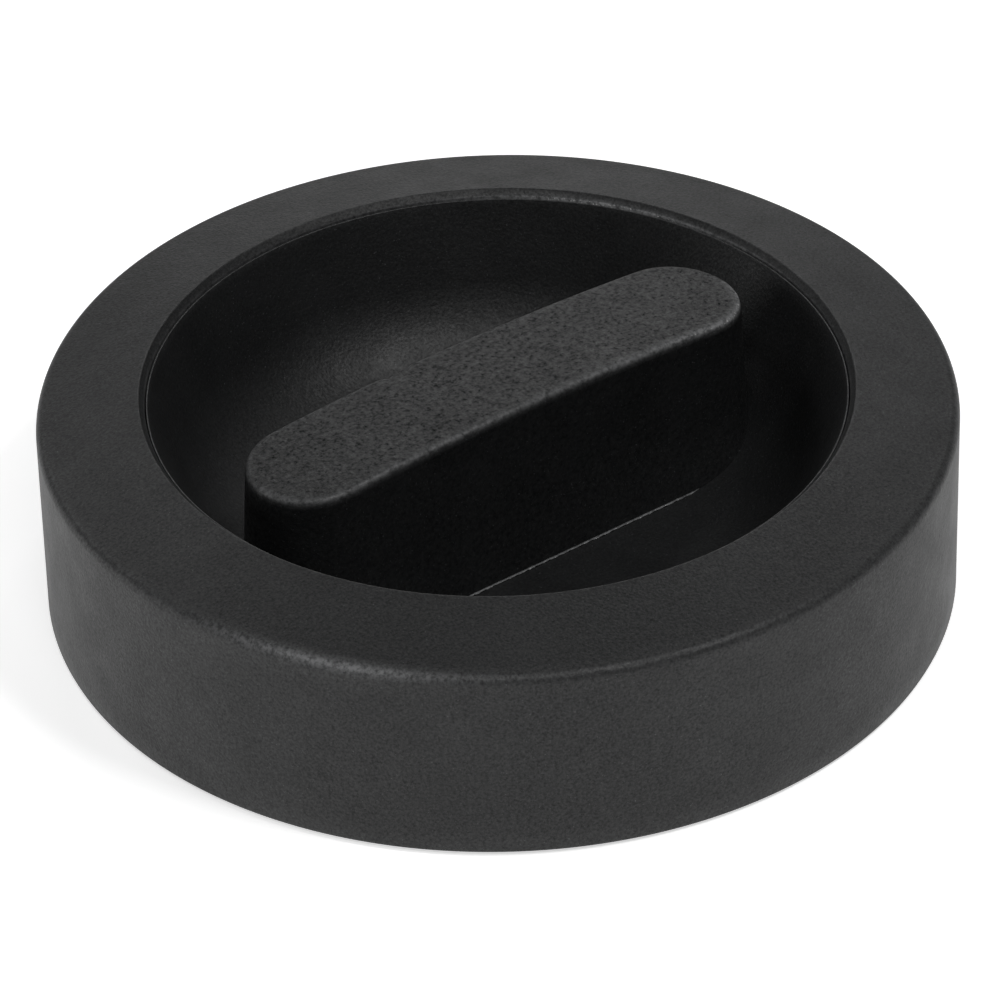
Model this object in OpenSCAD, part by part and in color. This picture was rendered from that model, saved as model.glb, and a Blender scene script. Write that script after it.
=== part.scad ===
// Twist-lock desk grommet: a rim housing that drops into a desk hole, and a dished lid that is
// gripped by its bar, turned to unlock and lifted out. +X runs along the grip bar, +Z is up and
// Z = 0 is the face that the grommet rests on.

/* [Rim housing] */
// Diameter of the outer wall, a loose fit in an 80 mm desk hole
outer_d = 79.6; // [79:0.1:79.8]
// Height of the rim at its outer edge
rim_outer_z = 18.5; // [18:0.1:19.5]
// Rise of the rim from its outer edge to its inner edge
rim_rise = 1.7; // [1.2:0.1:2]
// Diameter of the round opening inside the rim
opening_d = 60.7; // [60.6:0.1:60.8]
// Radius on the rim's outer edge
outer_edge_r = 1.0; // [0.5:0.1:1.5]
// Width of the bevel on the rim's inner edge
bevel_w = 0.5; // [0.4:0.1:0.6]
// Height of that bevel
bevel_h = 0.6; // [0.5:0.1:0.6]
// Radius where the rim's face meets the bevel
inner_edge_r = 0.2; // [0.1:0.1:0.3]
// Thickness of the outer wall
wall_t = 2.5; // [2.2:0.1:2.8]
// Thickness of the sleeve round the opening
sleeve_t = 2.0; // [1.8:0.1:2.2]
// Thickness of the rim
rim_t = 2.2; // [1.8:0.1:2.4]
// Height of the wall's lower edge above the resting face
wall_foot_z = 0.3; // [0.2:0.1:0.5]

/* [Ledge and base] */
// Height of the ledge that the lid sits over
ledge_z = 5.6; // [5.5:0.1:5.8]
// Thickness of the bayonet ring that makes the ledge
ledge_t = 2.4; // [2:0.1:2.4]
// Bore of the bayonet ring
ledge_bore_d = 56.0; // [55.8:0.1:56.2]
// Thickness of the foot gasket
gasket_t = 0.9; // [0.6:0.1:1]
// Circle of the base screws
screw_circle_d = 68.0; // [67.8:0.1:68.2]
// Circle of the threaded inserts for an under-desk bracket
insert_circle_d = 69.7; // [69.4:0.1:70]

/* [Lid] */
// Gap between the lid and the housing's opening
lid_gap = 0.1; // [0.1:0.05:0.2]
// Height of the lid's lip
lip_z = 19.5; // [19.3:0.1:19.6]
// Height of the dish floor
floor_z = 4.9; // [4.8:0.1:5.2]
// Thickness of the dish
dish_t = 2.0; // [1.8:0.1:2]
// Lean of the dish wall from vertical, in degrees
wall_lean = 20.4; // [19:0.1:21]
// Radius between the dish wall and its floor
bowl_fillet_r = 12.0; // [11.5:0.5:12]

/* [Grip bar] */
// Length of the bar's top
bar_l = 50.5; // [49:0.1:51]
// Width of the bar's top
bar_w = 11.4; // [11:0.1:12]
// Width of the bar at the dish floor
bar_foot_w = 13.1; // [12.5:0.1:13.5]
// Height of the bar at its middle
bar_top_z = 21.5; // [21:0.1:22]
// Drop of the bar's top from its middle to its ends
bar_crown = 1.2; // [0.5:0.1:1.5]

/* [Lock] */
// Number of lugs
lug_n = 3; // [3]
// Angle that each lug spans
lug_deg = 28; // [24:1:30]
// Angle that the lid turns between unlocked and locked
turn_deg = 60; // [60]
// Thickness of the steel lock ring
lock_ring_t = 1.2; // [1:0.1:1.2]

/* [Hidden] */
$fn = 96;

plastic = "#232425";
rubber = "#161616";
brass = "#b58e3e";
steel = "#a9adb1";

outer_r = outer_d / 2;
opening_r = opening_d / 2;
inner_wall_r = outer_r - wall_t;
sleeve_r = opening_r + sleeve_t;
screw_at = screw_circle_d / 2;
insert_at = insert_circle_d / 2;

// The rim falls outwards in a straight cone from its bevel to its outer edge radius.
rim_flat = outer_r - outer_edge_r - opening_r - bevel_w;
rim_angle = atan(rim_rise / rim_flat);
bevel_angle = atan(bevel_h / bevel_w);
function rim_z(r) = rim_outer_z + (outer_r - outer_edge_r - r) * tan(rim_angle);
function roof_z(r) = rim_z(r) - rim_t;

// Housing fixings: six screws, and three inserts on a slightly wider circle.
screw_angles = [for (k = [0 : 5]) 30 + 60 * k];
insert_angles = [for (k = [0 : 2]) 120 * k];
rib_angles = concat([for (k = [0 : 11]) 15 + 30 * k], [for (k = [0 : 2]) 60 + 120 * k]);
rib_t = 1.4;
rib_l = 6.4;
rib_relief = 0.4;
sleeve_relief = 0.2;
screw_boss_d = 6.0;
insert_boss_d = 8.0;
base_screw_r = 1.25;
base_screw_l = 12;
screw_clear_r = 1.45;
thread_slack = 0.03;
pilot_spare_l = 0.5;
csk_head_r = 2.6;
csk_head_h = 1.4;
insert_r = 2.3;
insert_bore_r = 1.5;
bar_screw_r = insert_bore_r - thread_slack;
insert_l = 6.0;
clear_hole_r = 1.7;

// Base stack below the ledge.
ring_outer_r = inner_wall_r - 0.2;
ring_under_z = ledge_z - ledge_t;
track_r = 31.0;
tab_inner_r = 28.5;
stop_gap_deg = 0.8;
// A lug swings through turn_deg between two tabs, with stop_gap_deg to spare at each end.
tab_deg = 360 / lug_n - turn_deg - lug_deg - 2 * stop_gap_deg;
tab_angles = [for (k = [0 : lug_n - 1]) 180 / lug_n - turn_deg / 2 + 360 / lug_n * k];
gasket_inset = 0.1;

// Lock ring: lugs stand in the notches when the lid is unlocked.
lug_r = 29.9;
notch_r = 30.35;
notch_slack_deg = 2;
lock_ring_top_z = floor_z - dish_t;
lock_ring_z = lock_ring_top_z - lock_ring_t;
lock_ring_in_r = 22.6;
lock_ring_out_r = 27.4;
lock_screw_circle_r = 25.2;
lock_screw_r = 1.25;
lock_screw_top_z = 5.4;
lock_head_r = 2.25;
lock_head_h = 1.3;
lock_boss_r = 2.3;
lock_screw_angles = [for (k = [0 : lug_n - 1]) 60 + 360 / lug_n * k];
detent_n = 6;
detent_notch_r = 0.9;
detent_notch_at = 27.75;

// Detent spring: a bowed leaf with a round nose, hooked into the tab behind it.
leaf_r = 28.0;
leaf_t = 0.3;
leaf_half_deg = 10;
leaf_hook_r = 29.3;
leaf_slot_r = 29.5;
leaf_slot_w = 0.7;
nose_at = 27.65;
nose_r = 0.6;
spring_play_z = 0.15;

// Dish: the wall leans outwards from a round fillet to the lip.
lid_r = opening_r - lid_gap;
lip_r = 0.08;
bowl_top = [lid_r - 2 * lip_r, lip_z - lip_r];
wall_foot_r = bowl_top.x - (bowl_top.y - floor_z) * tan(wall_lean);
bowl_floor_r = wall_foot_r - bowl_fillet_r * tan((90 - wall_lean) / 2);
fillet_centre = [bowl_floor_r, floor_z + bowl_fillet_r];
fillet_steps = 20;
// Height of the shell's underside at a radius inside its fillet.
function underside_z(r) = fillet_centre.y - sqrt(pow(bowl_fillet_r + dish_t, 2) - pow(r - bowl_floor_r, 2));
function wall_r_at(z, out) = bowl_top.x - (bowl_top.y - z) * tan(wall_lean) + out / cos(wall_lean);
shell_top_z = bowl_top.y - (wall_r_at(bowl_top.y, dish_t) - lid_r) / tan(wall_lean);
skirt_t = 1.6;
skirt_z = 7.4;
skirt_top_z = shell_top_z + 0.5;
neck_r = 27.7;
neck_t = 2.0;
neck_relief = 0.1;
neck_top_z = underside_z(neck_r) + 0.3;
dish_rib_t = 1.2;
dish_rib_h = 3.5;
dish_rib_angles = [for (k = [0 : 11]) 15 + 30 * k];
seal_in_r = 28.3;
seal_out_r = opening_r - 0.2;
seal_play_z = 0.1;

// Grip bar: a drafted stadium, hollow from beneath, seated in a shallow pocket.
bar_end_x = bar_l / 2 - bar_w / 2;
bar_seat_z = floor_z - 0.5;
seat_slack = 0.05;
crown_r = (pow(bar_l / 2, 2) + pow(bar_crown, 2)) / (2 * bar_crown);
bar_core_x = 15;
bar_core_r = 3.7;
bar_core_top_z = 18.4;
bar_boss_x = 13;
bar_boss_top_z = 12;
bar_screw_l = 7.0;
pan_head_r = 2.75;
pan_head_h = 1.8;
socket_depth = 0.9;

EPS = 0.01;

function arc(centre, r, a0, a1, steps) =
    [for (i = [0 : steps]) let (a = a0 + (a1 - a0) * i / steps)
        [centre.x + r * cos(a), centre.y + r * sin(a)]];

// ---- shared shapes -------------------------------------------------------------------------

module revolve(outline) {
    rotate_extrude($fn = 180) polygon(outline);
}

module ring(r_in, r_out, z0, z1) {
    translate([0, 0, z0]) difference() {
        cylinder(r = r_out, h = z1 - z0, $fn = 180);
        translate([0, 0, -1]) cylinder(r = r_in, h = z1 - z0 + 2, $fn = 180);
    }
}

// Part of a flat ring, centred on the angle mid and spanning the angle span.
module sector(r_in, r_out, z0, z1, mid, span) {
    rotate([0, 0, mid - span / 2])
        rotate_extrude(angle = span, $fn = 180)
            translate([r_in, z0]) square([r_out - r_in, z1 - z0]);
}

module at_angles(angles, r) {
    for (a = angles) rotate([0, 0, a]) translate([r, 0, 0]) children();
}

module post(r, z0, z1) {
    translate([0, 0, z0]) cylinder(r = r, h = z1 - z0);
}

// Upright prism with two round ends on the X axis.
module stadium(end_x, r, z0, z1) {
    for (side = [-1, 1]) translate([side * end_x, 0, 0]) post(r, z0, z1);
    translate([-end_x, -r, z0]) cube([2 * end_x, 2 * r, z1 - z0]);
}

// ---- housing -------------------------------------------------------------------------------

module housing_shell() {
    outer_centre = [outer_r - outer_edge_r, rim_outer_z - outer_edge_r];
    // The edge radius touches the rim's face and the bevel, so its centre is on their bisector.
    crest = [opening_r + bevel_w, rim_z(opening_r + bevel_w)];
    bisector = 90 + (bevel_angle - rim_angle) / 2;
    crest_centre = crest - inner_edge_r / cos((bevel_angle + rim_angle) / 2)
                           * [cos(bisector), sin(bisector)];
    revolve(concat(
        [[inner_wall_r, wall_foot_z], [outer_r - 0.3, wall_foot_z], [outer_r, wall_foot_z + 0.3]],
        arc(outer_centre, outer_edge_r, 0, 90 - rim_angle, 8),
        arc(crest_centre, inner_edge_r, 90 - rim_angle, 90 + bevel_angle, 8),
        [[opening_r, crest.y - bevel_h], [opening_r, ledge_z + sleeve_relief],
         [sleeve_r, ledge_z + sleeve_relief],
         [sleeve_r, roof_z(sleeve_r)], [inner_wall_r, roof_z(inner_wall_r)]]));
}

module rim_housing() {
    rib_top_z = roof_z(sleeve_r) + 0.3;
    color(plastic) difference() {
        union() {
            housing_shell();
            at_angles(rib_angles, (sleeve_r + inner_wall_r) / 2)
                translate([-rib_l / 2, -rib_t / 2, ledge_z + rib_relief])
                    cube([rib_l, rib_t, rib_top_z - ledge_z - rib_relief]);
            at_angles(screw_angles, screw_at) post(screw_boss_d / 2, ledge_z, rib_top_z);
            at_angles(insert_angles, insert_at) post(insert_boss_d / 2, ledge_z, rib_top_z);
        }
        at_angles(screw_angles, screw_at)
            post(base_screw_r + thread_slack, ledge_z - 1, gasket_t + base_screw_l + pilot_spare_l);
        at_angles(insert_angles, insert_at) {
            post(insert_r, ledge_z - 1, ledge_z + insert_l);
            post(insert_bore_r, ledge_z, ledge_z + insert_l + 2);
        }
    }
}

module bayonet_ring() {
    color(plastic) difference() {
        ring(ledge_bore_d / 2, ring_outer_r, ring_under_z, ledge_z);
        for (k = [0 : lug_n - 1])
            sector(ledge_bore_d / 2 - 1, notch_r, ring_under_z - 1, ledge_z + 1,
                   360 / lug_n * k, lug_deg + 2 * notch_slack_deg);
        at_angles(screw_angles, screw_at) post(screw_clear_r, ring_under_z - 1, ledge_z + 1);
        at_angles(insert_angles, insert_at) post(clear_hole_r, ring_under_z - 1, ledge_z + 1);
    }
}

module base_plate() {
    color(plastic) difference() {
        union() {
            ring(track_r, ring_outer_r, gasket_t, ring_under_z);
            for (mid = tab_angles)
                sector(tab_inner_r, track_r + 0.5, gasket_t, ring_under_z, mid, tab_deg);
        }
        at_angles(insert_angles, insert_at) post(clear_hole_r, 0, ring_under_z + 1);
        at_angles(screw_angles, screw_at) {
            post(screw_clear_r, 0, ring_under_z + 1);
            translate([0, 0, gasket_t - EPS])
                cylinder(r1 = csk_head_r, r2 = base_screw_r, h = csk_head_h);
        }
        for (mid = tab_angles, side = [-1, 1])
            rotate([0, 0, mid + side * leaf_half_deg])
                translate([tab_inner_r - 1, -leaf_slot_w / 2, lock_ring_z])
                    cube([leaf_slot_r - tab_inner_r + 1, leaf_slot_w, lock_ring_t + 1]);
    }
}

module hex_socket(z0, across_r) {
    translate([0, 0, z0]) cylinder(r = across_r, h = socket_depth, $fn = 6);
}

module base_screws() {
    color(steel) at_angles(screw_angles, screw_at) difference() {
        union() {
            translate([0, 0, gasket_t])
                cylinder(r1 = csk_head_r - 0.1, r2 = base_screw_r, h = csk_head_h - 0.1);
            post(base_screw_r, gasket_t + 0.5, gasket_t + base_screw_l);
        }
        hex_socket(gasket_t - EPS, 1.15);
    }
}

// Brass insert: two full bands with a waist between them, open from end to end.
module insert(z0) {
    waist = 0.3;
    translate([0, 0, z0]) revolve([
        [insert_bore_r, 0], [insert_r, 0], [insert_r, insert_l * 0.4],
        [insert_r - waist, insert_l * 0.46], [insert_r - waist, insert_l * 0.54],
        [insert_r, insert_l * 0.6], [insert_r, insert_l], [insert_bore_r, insert_l]]);
}

module threaded_inserts() {
    color(brass) at_angles(insert_angles, insert_at) insert(ledge_z);
}

module foot_gasket() {
    color(rubber) difference() {
        ring(track_r + gasket_inset, ring_outer_r - gasket_inset, 0, gasket_t);
        at_angles(insert_angles, insert_at) post(clear_hole_r, -1, gasket_t + 1);
        at_angles(screw_angles, screw_at) post(clear_hole_r, -1, gasket_t + 1);
    }
}

module detent_springs() {
    z0 = lock_ring_z + spring_play_z;
    z1 = lock_ring_top_z - spring_play_z;
    hook_l = leaf_hook_r - leaf_r;
    color(steel) for (mid = tab_angles) rotate([0, 0, mid]) {
        sector(leaf_r, leaf_r + leaf_t, z0, z1, 0, 2 * leaf_half_deg);
        translate([nose_at, 0, 0]) post(nose_r, z0, z1);
        for (side = [-1, 1]) rotate([0, 0, side * leaf_half_deg])
            translate([leaf_r, -leaf_t / 2, z0]) cube([hook_l, leaf_t, z1 - z0]);
    }
}

// ---- seal ----------------------------------------------------------------------------------

module seal_ring() {
    z0 = ledge_z + seal_play_z;
    z1 = skirt_z - seal_play_z;
    bevel = 0.3;
    color(rubber) revolve([
        [seal_in_r, z0 + bevel], [seal_in_r + bevel, z0], [seal_out_r - bevel, z0],
        [seal_out_r, z0 + bevel], [seal_out_r, z1 - bevel], [seal_out_r - bevel, z1],
        [seal_in_r + bevel, z1], [seal_in_r, z1 - bevel]]);
}

// ---- lid -----------------------------------------------------------------------------------

// The hollow of the dish, from its floor up past the lip, made smaller all round by inset.
module bowl_space(inset) {
    revolve(concat([[0, floor_z + inset]],
                   arc(fillet_centre, bowl_fillet_r - inset, -90, -wall_lean, fillet_steps),
                   [[wall_r_at(bar_top_z + 2, -inset), bar_top_z + 2], [0, bar_top_z + 2]]));
}

module dish_shell() {
    revolve(concat(
        [[0, floor_z]],
        arc(fillet_centre, bowl_fillet_r, -90, -wall_lean, fillet_steps),
        [bowl_top],
        arc([lid_r - lip_r, lip_z - lip_r], lip_r, 180 - wall_lean, 0, 6),
        [[lid_r, shell_top_z]],
        arc(fillet_centre, bowl_fillet_r + dish_t, -wall_lean, -90, fillet_steps),
        [[0, floor_z - dish_t]]));
}

// Ribs and screw bosses under the dish, cut back inside the thickness of its shell.
module dish_stiffeners() {
    difference() {
        union() {
            at_angles(dish_rib_angles, bowl_floor_r - 1)
                translate([0, -dish_rib_t / 2, lock_ring_top_z + rib_relief])
                    cube([neck_r - bowl_floor_r, dish_rib_t, dish_rib_h]);
            at_angles(lock_screw_angles, lock_screw_circle_r)
                post(lock_boss_r, lock_ring_top_z, neck_top_z);
            at_angles(dish_rib_angles, neck_r - 0.5)
                translate([0, -dish_rib_t / 2, skirt_z + 1]) cube([1.5, dish_rib_t, dish_rib_h]);
        }
        bowl_space(-dish_t / 2);
    }
}

module grip_dish() {
    color(plastic) difference() {
        union() {
            dish_shell();
            ring(lid_r - skirt_t, lid_r, skirt_z, skirt_top_z);
            ring(neck_r - neck_t, neck_r, lock_ring_top_z + neck_relief, neck_top_z);
            dish_stiffeners();
        }
        at_angles(lock_screw_angles, lock_screw_circle_r)
            post(lock_screw_r + thread_slack, lock_ring_top_z - 1, lock_screw_top_z + thread_slack);
        for (side = [-1, 1]) translate([side * bar_boss_x, 0, 0])
            post(clear_hole_r, lock_ring_top_z - 1, floor_z);
        intersection() {
            stadium(bar_end_x, bar_foot_w / 2 + 2 * seat_slack, bar_seat_z, floor_z + 1);
            post(bowl_floor_r - 0.5, 0, floor_z + 1);
        }
    }
}

// Solid stadium whose sides lean in from foot to top.
module drafted_stadium(r_foot, r_top, z0, z1) {
    h = z1 - z0;
    for (side = [-1, 1]) translate([side * bar_end_x, 0, z0]) cylinder(r1 = r_foot, r2 = r_top, h = h);
    translate([-bar_end_x, 0, z0]) rotate([90, 0, 90])
        linear_extrude(2 * bar_end_x) polygon([[-r_foot, 0], [r_foot, 0], [r_top, h], [-r_top, h]]);
}

module grip_bar() {
    color(plastic) difference() {
        intersection() {
            drafted_stadium(bar_foot_w / 2, bar_w / 2, bar_seat_z, bar_top_z);
            translate([0, bar_w, bar_top_z - crown_r]) rotate([90, 0, 0])
                cylinder(r = crown_r, h = 2 * bar_w, $fn = 180);
            union() {
                bowl_space(seat_slack);
                post(bowl_floor_r - 0.6, bar_seat_z, floor_z + 1);
            }
        }
        difference() {
            stadium(bar_core_x, bar_core_r, bar_seat_z - 1, bar_core_top_z);
            for (side = [-1, 1]) translate([side * bar_boss_x, 0, 0])
                post(bar_core_r + 0.3, bar_seat_z - 2, bar_boss_top_z);
        }
        for (side = [-1, 1]) translate([side * bar_boss_x, 0, 0]) {
            post(insert_r, bar_seat_z - 1, bar_seat_z + insert_l);
            post(insert_bore_r, bar_seat_z, bar_boss_top_z - 1);
        }
    }
}

module bar_inserts() {
    color(brass) for (side = [-1, 1]) translate([side * bar_boss_x, 0, 0]) insert(bar_seat_z);
}

module pan_screw(head_r, head_h, shank_r, shank_l, z_face) {
    difference() {
        union() {
            post(shank_r, z_face, z_face + shank_l);
            translate([0, 0, z_face - head_h]) cylinder(r1 = head_r - 0.4, r2 = head_r, h = 0.4);
            post(head_r, z_face - head_h + 0.4, z_face);
        }
        hex_socket(z_face - head_h - EPS, head_r * 0.42);
    }
}

module bar_screws() {
    color(steel) for (side = [-1, 1]) translate([side * bar_boss_x, 0, 0])
        pan_screw(pan_head_r, pan_head_h, bar_screw_r, bar_screw_l, lock_ring_top_z);
}

module lock_ring() {
    color(steel) difference() {
        union() {
            ring(lock_ring_in_r, lock_ring_out_r, lock_ring_z, lock_ring_top_z);
            for (k = [0 : lug_n - 1])
                sector(lock_ring_out_r - 1, lug_r, lock_ring_z, lock_ring_top_z, 360 / lug_n * k, lug_deg);
        }
        at_angles([for (k = [0 : detent_n - 1]) tab_angles[0] + turn_deg * k], detent_notch_at)
            post(detent_notch_r, lock_ring_z - 1, lock_ring_top_z + 1);
        at_angles(lock_screw_angles, lock_screw_circle_r)
            post(lock_screw_r + 0.1, lock_ring_z - 1, lock_ring_top_z + 1);
    }
}

module lock_ring_screws() {
    color(steel) at_angles(lock_screw_angles, lock_screw_circle_r)
        pan_screw(lock_head_r, lock_head_h, lock_screw_r, lock_screw_top_z - lock_ring_z, lock_ring_z);
}

rim_housing();
bayonet_ring();
base_plate();
base_screws();
threaded_inserts();
foot_gasket();
detent_springs();
seal_ring();
grip_dish();
grip_bar();
bar_inserts();
bar_screws();
lock_ring();
lock_ring_screws();
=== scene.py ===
"""Visual model of a twist-lock desk grommet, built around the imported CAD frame."""
import math

import bpy
import numpy as np
from mathutils import Matrix, Vector


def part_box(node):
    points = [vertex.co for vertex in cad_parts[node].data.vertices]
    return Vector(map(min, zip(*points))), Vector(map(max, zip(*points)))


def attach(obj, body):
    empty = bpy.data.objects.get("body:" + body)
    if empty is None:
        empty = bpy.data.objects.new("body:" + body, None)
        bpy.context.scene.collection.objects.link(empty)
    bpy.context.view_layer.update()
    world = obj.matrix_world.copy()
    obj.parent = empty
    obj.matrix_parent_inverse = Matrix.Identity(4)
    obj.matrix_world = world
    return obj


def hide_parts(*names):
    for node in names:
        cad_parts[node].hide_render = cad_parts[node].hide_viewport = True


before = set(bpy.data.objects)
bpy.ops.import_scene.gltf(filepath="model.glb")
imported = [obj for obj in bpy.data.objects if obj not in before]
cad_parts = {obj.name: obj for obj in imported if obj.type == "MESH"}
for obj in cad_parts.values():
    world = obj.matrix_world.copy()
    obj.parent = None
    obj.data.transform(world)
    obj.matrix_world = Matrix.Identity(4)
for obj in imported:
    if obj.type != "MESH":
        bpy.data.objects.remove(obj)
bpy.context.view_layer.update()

MM = 0.001
TAU = 2 * math.pi

# ---- sizes ---------------------------------------------------------------------------------
# Boxes of the CAD nodes give the main sizes. The rest repeat the CAD's values or are small rounds.

rim_low, rim_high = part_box("rim_housing")
dish_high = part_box("grip_dish")[1]
bar_low, bar_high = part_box("grip_bar")

OUTER_R = rim_high.x
FOOT_Z = rim_low.z
LID_GAP = 0.1 * MM
LID_R = dish_high.x
OPENING_R = LID_R + LID_GAP
LIP_Z = dish_high.z
BAR_TOP_Z = bar_high.z
BAR_SEAT_Z = bar_low.z

RIM_OUTER_Z = FOOT_Z + 18.2 * MM
RIM_RISE = 1.7 * MM
OUTER_EDGE_R = 1.0 * MM
BEVEL_W = 0.5 * MM
BEVEL_H = 0.6 * MM
CREST_R = 0.2 * MM
WALL_T = 2.5 * MM
WALL_IN_R = OUTER_R - WALL_T
SLEEVE_T = 2.0 * MM
SLEEVE_OUT_R = OPENING_R + SLEEVE_T
RIM_T = 2.2 * MM
LEDGE_Z = 5.6 * MM
RIB_W = 1.4 * MM
RIB_L = 6.4 * MM
SCREW_BOSS_R = 3 * MM
INSERT_BOSS_R = 4 * MM
SCREW_AT = 34.0 * MM
INSERT_AT = 34.85 * MM
SCREW_ANGLES = [30 + 60 * k for k in range(6)]
INSERT_ANGLES = [120 * k for k in range(3)]
LUG_ANGLES = [120 * k for k in range(3)]
TAB_ANGLES = [30 + 120 * k for k in range(3)]
LOCK_SCREW_ANGLES = [60 + 120 * k for k in range(3)]
DETENT_ANGLES = [30 + 60 * k for k in range(6)]
RIB_ANGLES = [15 + 30 * k for k in range(12)]

BASE_SCREW_R = 1.25 * MM
BASE_SCREW_TOP_Z = 12.9 * MM
BASE_SCREW_HOLE_R = 1.45 * MM
LOCK_SCREW_R = 1.25 * MM
LOCK_SCREW_TOP_Z = 5.4 * MM
LOCK_SCREW_HOLE_R = 1.35 * MM
PILOT_R = 1.28 * MM
BAR_SCREW_R = 1.47 * MM
BAR_SCREW_L = 7 * MM
INSERT_R = 2.3 * MM
INSERT_L = 6 * MM

RING_OUTER_R = 37.1 * MM
RING_UNDER_Z = 3.2 * MM
GASKET_T = 0.9 * MM
BORE_R = 28.0 * MM
TRACK_R = 31.0 * MM
CLEAR_HOLE_R = 1.7 * MM
NOTCH_R = 30.35 * MM
NOTCH_DEG = 32
TAB_R = 28.5 * MM
TAB_DEG = 30.4
SLOT_DEG = 10

FLOOR_Z = BAR_SEAT_Z + 0.5 * MM
DISH_T = 2.0 * MM
WALL_LEAN = math.radians(20.4)
BOWL_FILLET_R = 12.0 * MM
LIP_R = 0.08 * MM
NECK_R = 27.7 * MM
NECK_T = 2.0 * MM
SKIRT_T = 1.6 * MM
SKIRT_Z = 7.4 * MM
UNDER_Z = FLOOR_Z - DISH_T
LOCK_SCREW_AT = 25.2 * MM
LOCK_BOSS_R = 2.3 * MM
DISH_RIB_W = 1.2 * MM
LOCK_RING_Z = 1.7 * MM
LOCK_RING_IN_R = 22.6 * MM
LOCK_RING_OUT_R = 27.4 * MM
LUG_R = 29.9 * MM
LUG_DEG = 28
DETENT_AT = 27.75 * MM
DETENT_R = 0.9 * MM

BAR_HALF_L = 25.25 * MM
BAR_TOP_R = 5.7 * MM
BAR_FOOT_R = bar_high.y
BAR_END_X = BAR_HALF_L - BAR_TOP_R
BAR_CROWN = 1.2 * MM
BAR_EDGE_R = 0.55 * MM
BAR_BOSSES = [(-13 * MM, 0), (13 * MM, 0)]
BAR_BOSS_R = 4 * MM
BAR_CORE_R = 3.7 * MM
BAR_CORE_X = 15 * MM
BAR_CORE_TOP_Z = 18.4 * MM
BAR_BOSS_TOP_Z = 12 * MM
FLASH_TOP = 0.3 * MM
SEAT_SLACK = 0.05 * MM

SPARE = 1 * MM  # how far a cutter reaches past what it cuts
EDGE_ROUND = 0.12 * MM

# ---- mesh helpers --------------------------------------------------------------------------


def arc(centre, radius, start, end, steps):
    """Points on an arc in the (r, z) plane, from one angle to another, in degrees."""
    angles = np.radians(np.linspace(start, end, steps + 1))
    return [(centre[0] + radius * math.cos(a), centre[1] + radius * math.sin(a)) for a in angles]


def rounded(corners):
    """Closed outline through (r, z, radius) corners, each rounded to its radius."""
    steps = 4
    outline = []
    for k, (r, z, radius) in enumerate(corners):
        here = Vector((r, z))
        before = (Vector(corners[k - 1][:2]) - here).normalized()
        after = (Vector(corners[(k + 1) % len(corners)][:2]) - here).normalized()
        half = before.angle(after) / 2
        centre = here + (before + after).normalized() * radius / math.sin(half)
        spoke = here + before * radius / math.tan(half) - centre
        last = here + after * radius / math.tan(half) - centre
        turn = math.atan2(spoke.x * last.y - spoke.y * last.x, spoke.dot(last))
        for t in np.linspace(0, turn, steps + 1):
            c, s = math.cos(t), math.sin(t)
            outline.append((centre.x + spoke.x * c - spoke.y * s, centre.y + spoke.x * s + spoke.y * c))
    return outline


def new_piece(name, vertices, faces):
    mesh = bpy.data.meshes.new(name)
    mesh.from_pydata([tuple(v) for v in vertices], [], faces)
    mesh.validate()
    piece = bpy.data.objects.new(name, mesh)
    bpy.context.scene.collection.objects.link(piece)
    return piece


def lathe(name, outline, steps=288, at=(0, 0), warp=None):
    """Turns a closed (r, z) outline, listed anticlockwise, round an upright axis.

    Points on the axis become one vertex each. warp(r, z, angle) may change a radius.
    """
    on_axis = 1e-7
    vertices, rows = [], []
    for r, z in outline:
        if r < on_axis:
            rows.append([len(vertices)] * steps)
            vertices.append((at[0], at[1], z))
        else:
            rows.append(range(len(vertices), len(vertices) + steps))
            for k in range(steps):
                a = TAU * k / steps
                bent = warp(r, z, a) if warp else r
                vertices.append((at[0] + bent * math.cos(a), at[1] + bent * math.sin(a), z))
    faces = []
    for low, high in zip(rows, rows[1:] + rows[:1]):
        if low[0] == low[1] and high[0] == high[1]:
            continue
        for k in range(steps):
            face = [low[k], low[(k + 1) % steps], high[(k + 1) % steps], high[k]]
            faces.append([v for i, v in enumerate(face) if v != face[i - 1]])
    return new_piece(name, vertices, faces)


def prism(points, low, high):
    """Upright prism on a closed plan outline, listed anticlockwise."""
    n = len(points)
    vertices = [(x, y, low) for x, y in points] + [(x, y, high) for x, y in points]
    sides = [[k, (k + 1) % n, n + (k + 1) % n, n + k] for k in range(n)]
    return new_piece("prism", vertices, [list(reversed(range(n))), list(range(n, 2 * n))] + sides)


def polar(radius, degrees):
    return (radius * math.cos(math.radians(degrees)), radius * math.sin(math.radians(degrees)))


def post(radius, low, high, at=(0, 0), steps=48):
    return lathe("post", [(0, low), (radius, low), (radius, high), (0, high)], steps, at)


def sector(r_in, r_out, low, high, mid, span):
    """Part of a flat ring, centred on the angle mid."""
    steps = 24
    angles = np.linspace(mid - span / 2, mid + span / 2, steps + 1)
    plan = [polar(r_out, a) for a in angles] + [polar(r_in, a) for a in reversed(angles)]
    return prism(plan, low, high)


def radial_block(r_mid, length, width, low, high, degrees):
    """Upright block that points away from the axis."""
    near_r, far_r, half_w = r_mid - length / 2, r_mid + length / 2, width / 2
    turn = Matrix.Rotation(math.radians(degrees), 2)
    corners = [(near_r, -half_w), (far_r, -half_w), (far_r, half_w), (near_r, half_w)]
    return prism([tuple(turn @ Vector(c)) for c in corners], low, high)


def join(pieces, name):
    """One piece from several that don't touch."""
    vertices, faces = [], []
    for piece in pieces:
        first = len(vertices)
        vertices += [v.co.copy() for v in piece.data.vertices]
        faces += [[first + v for v in f.vertices] for f in piece.data.polygons]
        bpy.data.objects.remove(piece)
    return new_piece(name, vertices, faces)


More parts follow.
